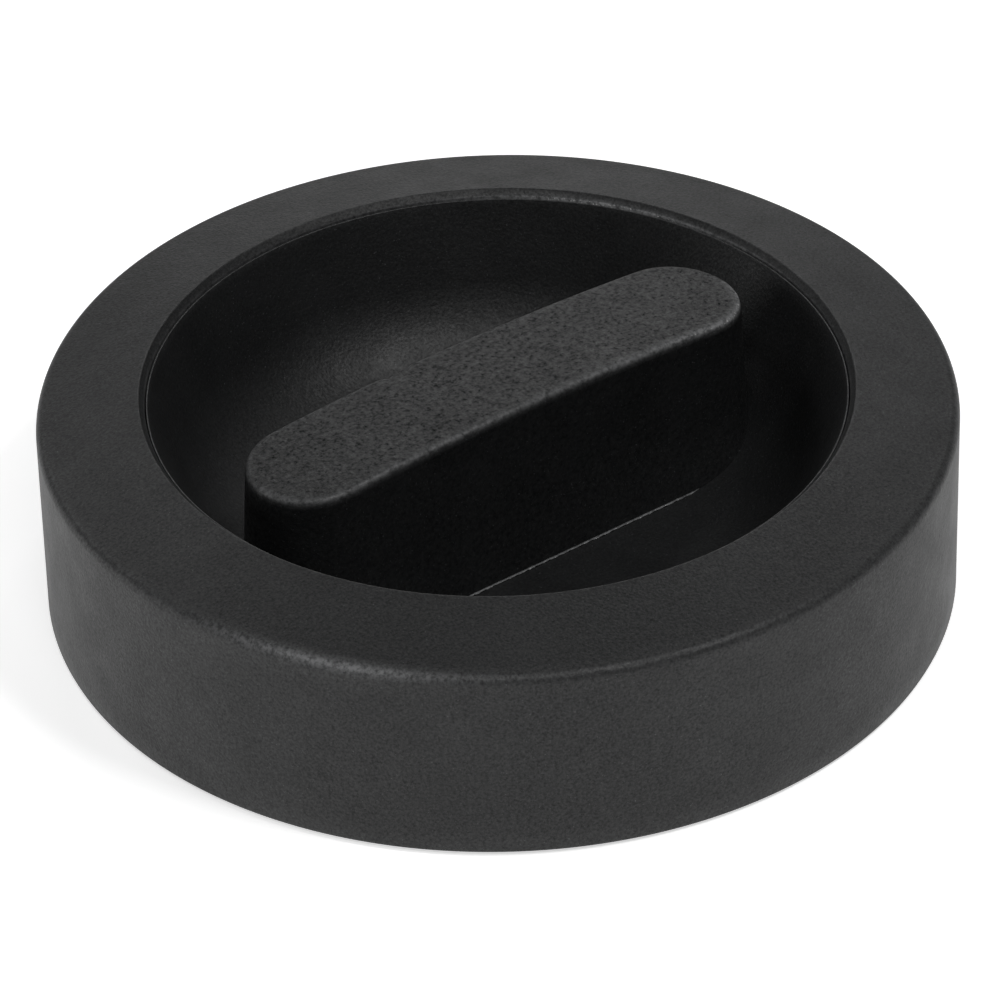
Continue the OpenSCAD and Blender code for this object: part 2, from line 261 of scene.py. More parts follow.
def apply_modifiers(piece):
    scene_now = bpy.context.evaluated_depsgraph_get()
    piece.data = bpy.data.meshes.new_from_object(piece.evaluated_get(scene_now))
    piece.modifiers.clear()
    return piece


def ring(r_in, r_out, low, high, name="ring"):
    return lathe(name, [(r_in, low), (r_out, low), (r_out, high), (r_in, high)])


def posts(radius, low, high, places):
    """Equal posts in several places, as one piece."""
    return join([post(radius, low, high, at) for at in places], "posts")


def around(radius, angles):
    return [polar(radius, a) for a in angles]


def combine(piece, others, operation):
    """Joins, cuts or trims a piece with others, which are used up."""
    for other in others:
        step = piece.modifiers.new("combine", "BOOLEAN")
        step.operation = operation
        step.solver = "MANIFOLD"
        step.object = other
    apply_modifiers(piece)
    for other in others:
        bpy.data.objects.remove(other)
    return piece


def soften(piece, width):
    """Small round on every edge sharper than 50 degrees."""
    step = piece.modifiers.new("soften", "BEVEL")
    step.width = width
    step.segments = 2
    step.limit_method = "ANGLE"
    step.angle_limit = math.radians(50)
    return apply_modifiers(piece)


def shade(piece):
    """Smooth shading, but for edges sharper than 35 degrees."""
    piece.data.shade_smooth()
    piece.data.set_sharp_from_angle(angle=math.radians(35))


def ripple(x, seed):
    """Smooth, repeatable unevenness between about -1 and 1."""
    waves = ((1.0, 0.5), (2.3, 0.3), (5.1, 0.2))
    return sum(size * math.sin(rate * x + seed * 1.7 * (k + 1)) for k, (rate, size) in enumerate(waves))


def mark(piece, name, weight_at):
    """Stores a weight from 0 to 1 on each vertex, for a material to read."""
    layer = piece.data.attributes.new(name, "FLOAT", "POINT")
    layer.data.foreach_set("value", [weight_at(v.co) for v in piece.data.vertices])


# ---- housing -------------------------------------------------------------------------------

RIM_FLAT = OUTER_R - OUTER_EDGE_R - OPENING_R - BEVEL_W
RIM_ANGLE = math.atan(RIM_RISE / RIM_FLAT)
BEVEL_ANGLE = math.atan(BEVEL_H / BEVEL_W)


def rim_z(r):
    """Height of the rim's sloping face."""
    return RIM_OUTER_Z + (OUTER_R - OUTER_EDGE_R - r) * math.tan(RIM_ANGLE)


CREST = (OPENING_R + BEVEL_W, rim_z(OPENING_R + BEVEL_W))
SLEEVE_FOOT_Z = LEDGE_Z + 0.2 * MM


def make_rim_shell():
    lean, tip = math.degrees(RIM_ANGLE), math.degrees(BEVEL_ANGLE)
    outer = (OUTER_R - OUTER_EDGE_R, RIM_OUTER_Z - OUTER_EDGE_R)
    bisector = math.radians(90 + (tip - lean) / 2)
    reach = CREST_R / math.cos((BEVEL_ANGLE + RIM_ANGLE) / 2)
    crest_centre = (CREST[0] - reach * math.cos(bisector), CREST[1] - reach * math.sin(bisector))
    foot_r, bevel_foot_z = 0.3 * MM, CREST[1] - BEVEL_H
    slope = BEVEL_H / BEVEL_W
    face = [(r, rim_z(r)) for r in np.linspace(outer[0], CREST[0] + 0.3 * MM, 25)[1:]]
    outline = (
        [(WALL_IN_R, FOOT_Z), (OUTER_R - foot_r, FOOT_Z), (OUTER_R - 0.3 * foot_r, FOOT_Z + 0.3 * foot_r)]
        + [(OUTER_R, z) for z in np.linspace(FOOT_Z + foot_r, outer[1], 10)[:-1]]
        + arc(outer, OUTER_EDGE_R, 0, 90 - lean, 12)
        + face
        + arc(crest_centre, CREST_R, 90 - lean, 90 + tip, 8)
        + [(OPENING_R + x * MM, bevel_foot_z + x * slope * MM) for x in (0.14, 0.04)]
        + [(OPENING_R, bevel_foot_z - 0.03 * MM)]
        + [(OPENING_R, SLEEVE_FOOT_Z), (SLEEVE_OUT_R, SLEEVE_FOOT_Z)]
        + [(r, rim_z(r) - RIM_T) for r in (SLEEVE_OUT_R, WALL_IN_R)]
    )
    return lathe("rim_housing_shell", outline, 360)


def press_sink_mark(piece):
    """Faint sink in the rim's face over the rib that stands at 180 degrees."""
    mid_r, half_l, half_w, depth = 35 * MM, 2.2 * MM, 2.0 * MM, 0.035 * MM
    for v in piece.data.vertices:
        r = math.hypot(v.co.x, v.co.y)
        if v.co.z > RIM_OUTER_Z - 0.2 * MM and r < OUTER_R - OUTER_EDGE_R:
            along = (r - mid_r) / half_l
            across = math.atan2(v.co.y, -v.co.x) * r / half_w
            v.co.z -= depth * math.exp(-along * along - across * across)


def make_rim_housing():
    shell = make_rim_shell()
    press_sink_mark(shell)
    top = rim_z(SLEEVE_OUT_R) - RIM_T + 0.3 * MM
    middle = (SLEEVE_OUT_R + WALL_IN_R) / 2
    angles = RIB_ANGLES + LOCK_SCREW_ANGLES
    ribs = [radial_block(middle, RIB_L, RIB_W, LEDGE_Z + 0.4 * MM, top, a) for a in angles]
    bosses = [
        posts(SCREW_BOSS_R, LEDGE_Z, top, around(SCREW_AT, SCREW_ANGLES)),
        posts(INSERT_BOSS_R, LEDGE_Z, top, around(INSERT_AT, INSERT_ANGLES))]
    combine(shell, [join(ribs, "ribs"), join(bosses, "bosses")], "UNION")
    low = LEDGE_Z - SPARE
    holes = [
        posts(PILOT_R, low, BASE_SCREW_TOP_Z + 0.5 * MM, around(SCREW_AT, SCREW_ANGLES)),
        posts(INSERT_R, low, LEDGE_Z + INSERT_L, around(INSERT_AT, INSERT_ANGLES))]
    return combine(shell, [join(holes, "holes")], "DIFFERENCE")


def make_bayonet_ring():
    body = ring(BORE_R, RING_OUTER_R, RING_UNDER_Z, LEDGE_Z, "bayonet_ring_body")
    low, high = RING_UNDER_Z - SPARE, LEDGE_Z + SPARE
    cuts = [sector(BORE_R - SPARE, NOTCH_R, low, high, a, NOTCH_DEG) for a in LUG_ANGLES]
    cuts.append(posts(BASE_SCREW_HOLE_R, low, high, around(SCREW_AT, SCREW_ANGLES)))
    cuts.append(posts(CLEAR_HOLE_R, low, high, around(INSERT_AT, INSERT_ANGLES)))
    return soften(combine(body, [join(cuts, "cuts")], "DIFFERENCE"), EDGE_ROUND)


def make_base_plate():
    plate = ring(TRACK_R, RING_OUTER_R, GASKET_T, RING_UNDER_Z, "base_plate_body")
    tabs = [sector(TAB_R, TRACK_R + 0.5 * MM, GASKET_T, RING_UNDER_Z, a, TAB_DEG) for a in TAB_ANGLES]
    combine(plate, [join(tabs, "tabs")], "UNION")
    top = RING_UNDER_Z + 1.8 * MM
    sink_low, sink_r, sink_high, hole_r = 0.8 * MM, 2.64 * MM, 2.1 * MM, BASE_SCREW_HOLE_R
    sink = [(0, sink_low), (sink_r, sink_low), (hole_r, sink_high), (hole_r, top), (0, top)]
    cuts = [lathe("sink", sink, 48, at) for at in around(SCREW_AT, SCREW_ANGLES)]
    cuts.append(posts(CLEAR_HOLE_R, 0, top, around(INSERT_AT, INSERT_ANGLES)))
    for a in [mid + side * SLOT_DEG for mid in TAB_ANGLES for side in (-1, 1)]:
        cuts.append(radial_block(TAB_R, 2 * MM, 0.7 * MM, LOCK_RING_Z, 4 * MM, a))
    return soften(combine(plate, [join(cuts, "cuts")], "DIFFERENCE"), EDGE_ROUND)


def make_foot_gasket():
    low, high = TRACK_R + 0.1 * MM, RING_OUTER_R - 0.1 * MM
    bead = 0.22 * MM
    corners = [(low, 0, bead), (high, 0, bead), (high, GASKET_T, bead), (low, GASKET_T, bead)]
    gasket = lathe("foot_gasket_body", rounded(corners))
    places = around(SCREW_AT, SCREW_ANGLES) + around(INSERT_AT, INSERT_ANGLES)
    return combine(gasket, [posts(CLEAR_HOLE_R, -SPARE, 2 * MM, places)], "DIFFERENCE")


# ---- screws and inserts --------------------------------------------------------------------


def thread_wave(z, angle, pitch):
    """0 at the root of a right-hand thread and 1 at its crest."""
    turn = (z / pitch - angle / TAU) % 1
    return 1 - abs(2 * turn - 1)


def make_screw(at, face_z, top_z, shank_r, pitch, head, socket_r, blunt=0.3 * MM):
    """Screw that points up. head lists the (r, z) points from the socket's rim to the shank."""
    bottom = head[0][1]
    depth = 0.9 * MM
    inner = [(0, bottom + depth), (socket_r, bottom + depth), (socket_r, bottom)]
    rows = [(shank_r, z) for z in np.arange(face_z, top_z - 2 * blunt, pitch / 7)]
    tip = [(shank_r * 0.8, top_z - blunt), (shank_r * 0.5, top_z), (0, top_z)]

    def warp(r, z, angle):
        if r <= socket_r * 1.001 and z < bottom + 1.1 * depth:
            return r * math.cos(math.pi / 6) / math.cos((angle % (TAU / 6)) - math.pi / 6)
        if z > face_z and r == shank_r:
            depth_here = 0.55 * pitch * min(1, (z - face_z) / pitch)
            return r - depth_here * (1 - thread_wave(z, angle, pitch))
        return r

    return lathe("screw", inner + head[1:] + rows + tip, 48, at, warp)


def pan_head(radius, height, face_z):
    low, rise, edge = face_z - height, 0.55 * MM, 0.06 * MM
    angles = np.radians(np.linspace(40, 90, 8))
    dome = [(radius * math.sin(a), low + rise * (1 - math.cos(a))) for a in angles]
    return [(radius * 0.5, low)] + dome + [(radius, face_z - edge), (radius - edge, face_z)]


def make_base_screws():
    head = [
        (1.2 * MM, GASKET_T), (2.38 * MM, GASKET_T), (2.47 * MM, 0.96 * MM), (2.44 * MM, 1.05 * MM),
        (BASE_SCREW_R, 2.15 * MM)]
    screws = [
        make_screw(at, 2.3 * MM, BASE_SCREW_TOP_Z, BASE_SCREW_R, 0.6 * MM, head, 1.15 * MM, 0.6 * MM)
        for at in around(SCREW_AT, SCREW_ANGLES)]
    return join(screws, "base_screws_turned")


def make_bar_screws():
    head = pan_head(2.75 * MM, 1.8 * MM, UNDER_Z)
    top_z = UNDER_Z + BAR_SCREW_L
    screws = [make_screw(at, UNDER_Z, top_z, BAR_SCREW_R, 0.5 * MM, head, 1.15 * MM) for at in BAR_BOSSES]
    return join(screws, "bar_screws_turned")


def make_lock_screws():
    head = pan_head(2.25 * MM, 1.3 * MM, LOCK_RING_Z)
    screws = [
        make_screw(at, LOCK_RING_Z, LOCK_SCREW_TOP_Z, LOCK_SCREW_R, 0.5 * MM, head, 0.95 * MM)
        for at in around(LOCK_SCREW_AT, LOCK_SCREW_ANGLES)]
    return join(screws, "lock_ring_screws_turned")


def make_insert(at, z0):
    """Brass insert with two knurled bands, threaded inside."""
    bore, chamfer, pitch = 1.5 * MM, 0.25 * MM, 0.5 * MM
    top = z0 + INSERT_L
    waist = INSERT_R - 0.3 * MM
    outline = [(bore + chamfer, z0), (INSERT_R - 0.2 * MM, z0), (INSERT_R, z0 + chamfer)]
    outline += [(INSERT_R, z0 + z * MM) for z in (0.6, 1.0, 1.4, 1.8, 2.2)]
    outline += [(waist, z0 + 2.7 * MM), (waist, z0 + 3.3 * MM)]
    outline += [(INSERT_R, z0 + z * MM) for z in (3.8, 4.2, 4.6, 5.0, 5.4)]
    outline += [(INSERT_R, top - chamfer), (INSERT_R - 0.2 * MM, top), (bore + chamfer, top)]
    outline += [(bore, z) for z in np.arange(top - 0.3 * MM, z0 + 0.3 * MM, -pitch / 6)]

    def warp(r, z, angle):
        if r == INSERT_R:
            return r - 0.09 * MM * (1 + math.cos(24 * angle)) / 2
        if r == bore:
            return r + 0.2 * MM * (1 - thread_wave(z, angle, pitch))
        return r

    return lathe("insert", outline, 96, at, warp)


# ---- lid -----------------------------------------------------------------------------------

BOWL_TOP = (LID_R - 2 * LIP_R, LIP_Z - LIP_R)
WALL_FOOT_R = BOWL_TOP[0] - (BOWL_TOP[1] - FLOOR_Z) * math.tan(WALL_LEAN)
BOWL_FLOOR_R = WALL_FOOT_R - BOWL_FILLET_R * math.tan((math.pi / 2 - WALL_LEAN) / 2)
FILLET_CENTRE = (BOWL_FLOOR_R, FLOOR_Z + BOWL_FILLET_R)
LEAN_DEG = math.degrees(WALL_LEAN)


def wall_r_at(z, outward):
    return BOWL_TOP[0] - (BOWL_TOP[1] - z) * math.tan(WALL_LEAN) + outward / math.cos(WALL_LEAN)


def underside_z(r):
    """Height of the dish's underside within its fillet."""
    return FILLET_CENTRE[1] - math.sqrt((BOWL_FILLET_R + DISH_T) ** 2 - (r - BOWL_FLOOR_R) ** 2)


SHELL_TOP_Z = BOWL_TOP[1] - (wall_r_at(BOWL_TOP[1], DISH_T) - LID_R) / math.tan(WALL_LEAN)
NECK_TOP_Z = underside_z(NECK_R) + 0.3 * MM


def bowl_space(inset, foot_z, foot_r):
    """Solid of the dish's hollow, smaller all round by inset, with a foot that reaches lower."""
    top_z = BAR_TOP_Z + 2 * MM
    return lathe("bowl_space", (
        [(0, foot_z), (foot_r, foot_z), (foot_r, FLOOR_Z + inset)]
        + arc(FILLET_CENTRE, BOWL_FILLET_R - inset, -90, -LEAN_DEG, 40)
        + [(wall_r_at(top_z, -inset), top_z), (0, top_z)]))


def make_dish_shell():
    floor = [(r, FLOOR_Z) for r in np.linspace(0, BOWL_FLOOR_R, 12)[:-1]]
    fillet = arc(FILLET_CENTRE, BOWL_FILLET_R, -90, -LEAN_DEG, 48)
    wall = [(wall_r_at(z, 0), z) for z in np.linspace(fillet[-1][1], BOWL_TOP[1], 12)[1:-1]]
    lip = arc((LID_R - LIP_R, LIP_Z - LIP_R), LIP_R, 180 - LEAN_DEG, 0, 8)
    under = arc(FILLET_CENTRE, BOWL_FILLET_R + DISH_T, -LEAN_DEG, -90, 32)
    outline = floor + fillet + wall + [BOWL_TOP] + lip + [(LID_R, SHELL_TOP_Z)] + under + [(0, UNDER_Z)]
    # The hollow faces up, so its outline is listed the other way round.
    return lathe("dish_shell", outline[::-1], 360)


def stadium(radius, end_steps=64, straight_steps=160, end_x=None):
    """Closed stadium outline in plan, with its long axis on X."""
    end_x = BAR_END_X if end_x is None else end_x
    angles = np.linspace(-math.pi / 2, math.pi / 2, end_steps)
    right = [(end_x + radius * math.cos(a), radius * math.sin(a)) for a in angles]
    left = [(-x, -y) for x, y in right]
    straight = np.linspace(end_x, -end_x, straight_steps + 2)[1:-1]
    return right + [(x, radius) for x in straight] + left + [(-x, -radius) for x in straight]


def make_stiffeners():
    """Neck, ribs, bosses and webs under the dish."""
    neck = ring(NECK_R - NECK_T, NECK_R, UNDER_Z + 0.1 * MM, NECK_TOP_Z)
    bosses = posts(LOCK_BOSS_R, UNDER_Z, NECK_TOP_Z, around(LOCK_SCREW_AT, LOCK_SCREW_ANGLES))
    rib_l = NECK_R - BOWL_FLOOR_R
    rib_mid = BOWL_FLOOR_R - SPARE + rib_l / 2
    rib_low, rib_high = UNDER_Z + 0.4 * MM, UNDER_Z + 3.9 * MM
    ribs = [radial_block(rib_mid, rib_l, DISH_RIB_W, rib_low, rib_high, a) for a in RIB_ANGLES]
    web_mid, web_l = NECK_R + 0.25 * MM, 1.5 * MM
    web_low, web_high = SKIRT_Z + 1 * MM, SKIRT_Z + 4.5 * MM
    webs = [radial_block(web_mid, web_l, DISH_RIB_W, web_low, web_high, a) for a in RIB_ANGLES]
    combine(neck, [bosses, join(ribs, "ribs"), join(webs, "webs")], "UNION")
    return combine(neck, [bowl_space(-DISH_T / 2, FLOOR_Z - DISH_T / 2, BOWL_FLOOR_R)], "DIFFERENCE")


def make_grip_dish():
    shell = make_dish_shell()
    skirt = ring(LID_R - SKIRT_T, LID_R, SKIRT_Z, SHELL_TOP_Z + 0.5 * MM)
    combine(shell, [skirt, make_stiffeners()], "UNION")
    low = UNDER_Z - 1.4 * MM
    holes = [
        posts(PILOT_R, low, LOCK_SCREW_TOP_Z + 0.03 * MM, around(LOCK_SCREW_AT, LOCK_SCREW_ANGLES)),
        posts(CLEAR_HOLE_R, low, FLOOR_Z - 0.2 * MM, BAR_BOSSES)]
    pocket = prism(stadium(BAR_FOOT_R + 2 * SEAT_SLACK), BAR_SEAT_Z, FLOOR_Z + SPARE)
    combine(pocket, [post(BOWL_FLOOR_R - 0.5 * MM, 0, FLOOR_Z + 2 * SPARE, steps=180)], "INTERSECT")
    return combine(shell, [join(holes, "holes"), pocket], "DIFFERENCE")


def bar_top_at(x):
    """Height of the bar's crowned top."""
    return BAR_TOP_Z - BAR_CROWN * (x / BAR_HALF_L) ** 2


def bar_side_r(z):
    share = (z - FLOOR_Z) / (BAR_TOP_Z - FLOOR_Z)
    return BAR_FOOT_R + (BAR_TOP_R - BAR_FOOT_R) * share


def make_bar_shell():
    """Drafted stadium with a crowned top and a rolled edge, from its seat up to its medial line."""
    rows, vertices = [], []

    def add_ring(radius, height, flash=0.0):
        plan = stadium(radius)
        rows.append(range(len(vertices), len(vertices) + len(plan)))
        for k, (x, y) in enumerate(plan):
            grow = 1 + flash * (1 + 0.7 * ripple(k * 1.3, 2)) / radius
            centre_x = max(-BAR_END_X, min(BAR_END_X, x))
            vertices.append((centre_x + (x - centre_x) * grow, y * grow, height(x)))

    add_ring(BAR_FOOT_R - 0.1 * MM, lambda x: BAR_SEAT_Z)
    # A thin moulding flash runs round the foot, just above the dish floor.
    for rise, flash in ((0.03, 0), (0.06, 0.1), (0.13, 0.09), (0.2, 0)):
        z = FLOOR_Z + rise * MM
        add_ring(bar_side_r(z), lambda x, h=z: h, flash * MM)
    first, top = FLOOR_Z + FLASH_TOP, BAR_TOP_Z - BAR_EDGE_R
    for share in (*np.linspace(0, 0.93, 11), 0.975, 1):
        radius = bar_side_r(first + share * (top - first))
        add_ring(radius, lambda x, s=share: first + s * (bar_top_at(x) - BAR_EDGE_R - first))
    for angle in np.radians(np.linspace(0, 90, 10)[1:]):
        drop = BAR_EDGE_R * (1 - math.sin(angle))
        radius = BAR_TOP_R - BAR_EDGE_R * (1 - math.cos(angle))
        add_ring(radius, lambda x, d=drop: bar_top_at(x) - d)
    medial_r = 1e-6
    for share in np.linspace(1, 0, 12)[1:]:
        add_ring(max((BAR_TOP_R - BAR_EDGE_R) * share, medial_r), bar_top_at)
    n = len(rows[0])
    faces = []
    for low, high in zip(rows, rows[1:]):
        faces += [[low[k], low[(k + 1) % n], high[(k + 1) % n], high[k]] for k in range(n)]
    faces += [list(reversed(rows[0])), list(rows[-1])]
    return new_piece("bar_shell", vertices, faces)


def chip_back_edge(bar):
    """Shallow nick in the top of the bar's back edge."""
    nick_x, half_l, inward, down = -7.2 * MM, 1.1 * MM, 0.28 * MM, 0.1 * MM
    for v in bar.data.vertices:
        if v.co.y > BAR_TOP_R - 1.2 * MM and v.co.z > BAR_TOP_Z - 1.6 * MM:
            along = (v.co.x - nick_x) / half_l
            depth = math.exp(-along * along) * (1 + 0.4 * ripple(v.co.x / MM * 4, 1))
            v.co.y -= inward * depth
            v.co.z -= down * depth


def make_grip_bar():
    bar = make_bar_shell()
    chip_back_edge(bar)
    low = BAR_SEAT_Z - SPARE
    combine(bar, [bowl_space(SEAT_SLACK, low, BOWL_FLOOR_R - 0.6 * MM)], "INTERSECT")
    core = prism(stadium(BAR_CORE_R, 24, 20, BAR_CORE_X), low, BAR_CORE_TOP_Z)
    combine(core, [posts(BAR_BOSS_R, low - SPARE, BAR_BOSS_TOP_Z, BAR_BOSSES)], "DIFFERENCE")
    pockets = posts(INSERT_R, low - SPARE, BAR_SEAT_Z + INSERT_L, BAR_BOSSES)
    return combine(bar, [core, pockets], "DIFFERENCE")


def make_lock_ring():
    low, high = LOCK_RING_Z, UNDER_Z
    plate = ring(LOCK_RING_IN_R, LOCK_RING_OUT_R, low, high)
    lugs = [sector(LOCK_RING_OUT_R - SPARE, LUG_R, low, high, a, LUG_DEG) for a in LUG_ANGLES]
    combine(plate, [join(lugs, "lugs")], "UNION")
    cuts = [
        posts(DETENT_R, low - SPARE, high + SPARE, around(DETENT_AT, DETENT_ANGLES)),
        posts(LOCK_SCREW_HOLE_R, low - SPARE, high + SPARE, around(LOCK_SCREW_AT, LOCK_SCREW_ANGLES))]
    return soften(combine(plate, [join(cuts, "cuts")], "DIFFERENCE"), 0.08 * MM)


def make_seal_ring():
    """Rubber ring with a rounded section and a groove round each flat face."""
    r_in, r_out, low, high = 28.3 * MM, 30.15 * MM, 5.7 * MM, 7.3 * MM
    mid, groove, tight, wide = (r_in + r_out) / 2, 0.16 * MM, 0.05 * MM, 0.3 * MM
    under = [(mid - groove, low, tight), (mid, low + groove, tight), (mid + groove, low, tight)]
    over = [(mid + groove, high, tight), (mid, high - groove, tight), (mid - groove, high, tight)]
    corners = [(r_in, low, wide)] + under + [(r_out, low, wide), (r_out, high, wide)] + over
    return lathe("seal_ring_body", rounded(corners + [(r_in, high, wide)]))


# ---- materials -----------------------------------------------------------------------------


class Recipe:
    """Small helper that builds a procedural material round one Principled shader."""

    def __init__(self, name, roughness, metallic=0.0):
        self.material = bpy.data.materials.new(name)
        self.material.use_nodes = True
        self.tree = self.material.node_tree
        self.shader = self.tree.nodes["Principled BSDF"]
        self.shader.inputs["Roughness"].default_value = roughness
        self.shader.inputs["Metallic"].default_value = metallic
        self.place = self.tree.nodes.new("ShaderNodeTexCoord")

    def link(self, source, target):
        self.tree.links.new(source, target)

    def noise(self, grain, detail=2, roughness=0.5):
        node = self.tree.nodes.new("ShaderNodeTexNoise")
        node.inputs["Scale"].default_value = 1 / grain
        node.inputs["Detail"].default_value = detail
        node.inputs["Roughness"].default_value = roughness
        self.link(self.place.outputs["Object"], node.inputs["Vector"])
        return node.outputs["Fac"]

    def spread(self, source, low, high, start=0.3, end=0.7):
        """Maps a value between start and end to one between low and high."""
        node = self.tree.nodes.new("ShaderNodeMapRange")
        for key, value in (("From Min", start), ("From Max", end), ("To Min", low), ("To Max", high)):
            node.inputs[key].default_value = value
        self.link(source, node.inputs["Value"])
        return node.outputs["Result"]

    def times(self, a, b):
        node = self.tree.nodes.new("ShaderNodeMath")
        node.operation = "MULTIPLY"
        self.link(a, node.inputs[0])
        self.link(b, node.inputs[1])
        return node.outputs["Value"]

    def weight(self, name):
        node = self.tree.nodes.new("ShaderNodeAttribute")
        node.attribute_name = name
        return node.outputs["Fac"]

    def blend(self, share, first, second):
        """Colour between two, where either may be a colour or another node's output."""
        node = self.tree.nodes.new("ShaderNodeMix")
        node.data_type = "RGBA"
        self.link(share, node.inputs["Factor"])
        for value, socket in ((first, node.inputs[6]), (second, node.inputs[7])):
            if isinstance(value, tuple):
                socket.default_value = (*value, 1)
            else:
                self.link(value, socket)
        return node.outputs[2]

    def color(self, output):
        self.link(output, self.shader.inputs["Base Color"])

    def rough(self, output):
        self.link(output, self.shader.inputs["Roughness"])

    def bumps(self, *layers):
        """Stacks (height, depth) layers of bump."""
        last = None
        for height, depth in layers:
            node = self.tree.nodes.new("ShaderNodeBump")
            node.inputs["Distance"].default_value = depth
            node.inputs["Strength"].default_value = 1
            self.link(height, node.inputs["Height"])
            if last:
                self.link(last, node.inputs["Normal"])
            last = node.outputs["Normal"]
        self.link(last, self.shader.inputs["Normal"])


def grained_plastic(name, grain, low, high):
    """Spark-eroded plastic whose gloss varies between low and high from one grain to the next, with
    painted highlights and glints where the edge weight is high.
    """
    recipe = Recipe(name, 0.52)
    cloud = recipe.noise(9 * MM, 3)
    fine = recipe.noise(0.17 * MM, 2, 0.7)
    base = recipe.blend(recipe.spread(cloud, 0, 1), (0.007, 0.0073, 0.0076), (0.011, 0.0114, 0.0118))
    pale = recipe.blend(recipe.spread(fine, 0, 1, 0.68, 0.72), base, (0.07, 0.072, 0.075))
    edge = recipe.weight("edge")
    # Painted highlight: where the edge weight is high, the colour is lifted towards pale grey, standing
    # in for light caught on rounded edges.
    painted_sheen = recipe.times(edge, recipe.spread(recipe.noise(0.5 * MM, 3, 0.7), 0.3, 1, 0.35, 0.6))
    # Painted glints: near-white specks where the edge weight is highest.
    painted_glints = recipe.times(recipe.spread(edge, 0, 1, 0.68, 0.8), recipe.spread(fine, 0, 1, 0.62, 0.67))
    recipe.color(recipe.blend(painted_glints, recipe.blend(painted_sheen, pale, (0.26, 0.263, 0.267)), (0.6, 0.6, 0.6)))
    recipe.rough(recipe.spread(recipe.noise(4 * MM, 4), 0.48, 0.56))
    level = recipe.spread(recipe.noise(grain, 3, 0.7), low, high)
    recipe.link(level, recipe.shader.inputs["Specular IOR Level"])
    recipe.bumps(
        (recipe.noise(0.25 * MM, 2), 0.03 * MM), (recipe.noise(0.7 * MM, 2), 0.03 * MM),
        (recipe.noise(2.5 * MM, 2), 0.02 * MM))
    return recipe.material


def plain_plastic():
    recipe = Recipe("black_plain_plastic", 0.45)
    cloud = recipe.spread(recipe.noise(6 * MM, 3), 0, 1)
    recipe.color(recipe.blend(cloud, (0.02, 0.0203, 0.021), (0.034, 0.0344, 0.0355)))
    recipe.rough(recipe.spread(recipe.noise(2 * MM, 4), 0.38, 0.52))
    recipe.bumps((recipe.noise(0.5 * MM, 3), 0.006 * MM))
    return recipe.material


def rubber():
    recipe = Recipe("rubber", 0.8)
    cloud = recipe.spread(recipe.noise(3 * MM, 4), 0, 1)
    recipe.color(recipe.blend(cloud, (0.014, 0.014, 0.014), (0.028, 0.027, 0.026)))
    recipe.rough(recipe.spread(recipe.noise(1.2 * MM, 3), 0.7, 0.9))
    recipe.bumps((recipe.noise(0.25 * MM, 4), 0.015 * MM))
    return recipe.material


def metal(name, dark, light, roughness, grain):
    recipe = Recipe(name, roughness, 1.0)
    recipe.color(recipe.blend(recipe.spread(recipe.noise(1.5 * MM, 4), 0, 1), dark, light))
    recipe.rough(recipe.spread(recipe.noise(0.8 * MM, 3), roughness - 0.08, roughness + 0.1))
    recipe.bumps((recipe.noise(grain, 2), 0.003 * MM))
    return recipe.material


slots = {
    "black_grained_plastic": grained_plastic("grained_plastic", 0.25 * MM, 0.2, 0.6),
    "black_plain_plastic": plain_plastic(),
    "rubber": rubber(),
    "brass": metal("turned_brass", (0.62, 0.42, 0.16), (0.8, 0.6, 0.27), 0.3, 0.15 * MM),
    "zinc_steel": metal("zinc_steel", (0.52, 0.54, 0.57), (0.7, 0.72, 0.75), 0.34, 0.25 * MM),
    "spring_steel": metal("spring_steel", (0.38, 0.38, 0.4), (0.55, 0.55, 0.58), 0.25, 0.12 * MM),
}

BAR_PLASTIC = grained_plastic("grained_plastic_bar", 0.4 * MM, 0, 0.66)

# ---- pieces in the frame -------------------------------------------------------------------


def near(r, z, at, reach):
    """1 at a place in the (r, z) plane, fading to nothing over about twice the reach."""
    return math.exp(-((r - at[0]) ** 2 + (z - at[1]) ** 2) / reach ** 2)


def hump(x, middle, half):
    return math.exp(-((x - middle) / half) ** 2)


def rim_painted_highlight(co):
    """Painted highlight on the outer edge, faint all round and strongest round -147 degrees, and painted
    glints on the bevel's foot round 34.
    """
    r = math.hypot(co.x, co.y)
    degrees = math.degrees(math.atan2(co.y, co.x))
    foot = near(r, co.z, (OPENING_R, CREST[1] - BEVEL_H), 0.18 * MM)
    outer = near(r, co.z, (OUTER_R - 0.3 * MM, RIM_OUTER_Z - 0.3 * MM), 0.5 * MM)
    # Painted highlight streak along the outer edge.
    painted_streak = outer * (0.08 + 0.6 * hump(degrees, -147, 14))
    return max(painted_streak, foot * (0.15 + 0.85 * hump(degrees, 34, 22)))


def bar_painted_highlight(co):
    """Painted highlight and glints, strongest on the front edge near its +X end, where the moulding's
    edge crumbles.
    """
    x = max(-BAR_END_X, min(BAR_END_X, co.x))
    side = math.hypot(co.x - x, co.y)
    # The flash at the foot gets a painted highlight with glints.
    if co.z < FLOOR_Z + 0.22 * MM and side > BAR_FOOT_R:
        return 0.9
    edge = near(side, co.z, (BAR_TOP_R - 0.15 * MM, bar_top_at(co.x) - 0.15 * MM), 0.35 * MM)
    # The back edge gets a faint painted highlight, with painted glints round x = -8.2 mm, beside the
    # nick.
    if co.y > 0:
        return edge * (0.2 + 0.8 * hump(co.x, -8.2 * MM, 0.4 * MM))
    return edge * (0.4 + 0.5 * max(0, co.x / BAR_HALF_L))


# Faint painted highlight along the lid's lip.
def lip_painted_highlight(co):
    return 0.15 * near(math.hypot(co.x, co.y), co.z, (LID_R - LIP_R, LIP_Z), 0.12 * MM)


def inserts(places, foot_z, name):
    return join([make_insert(at, foot_z) for at in places], name)


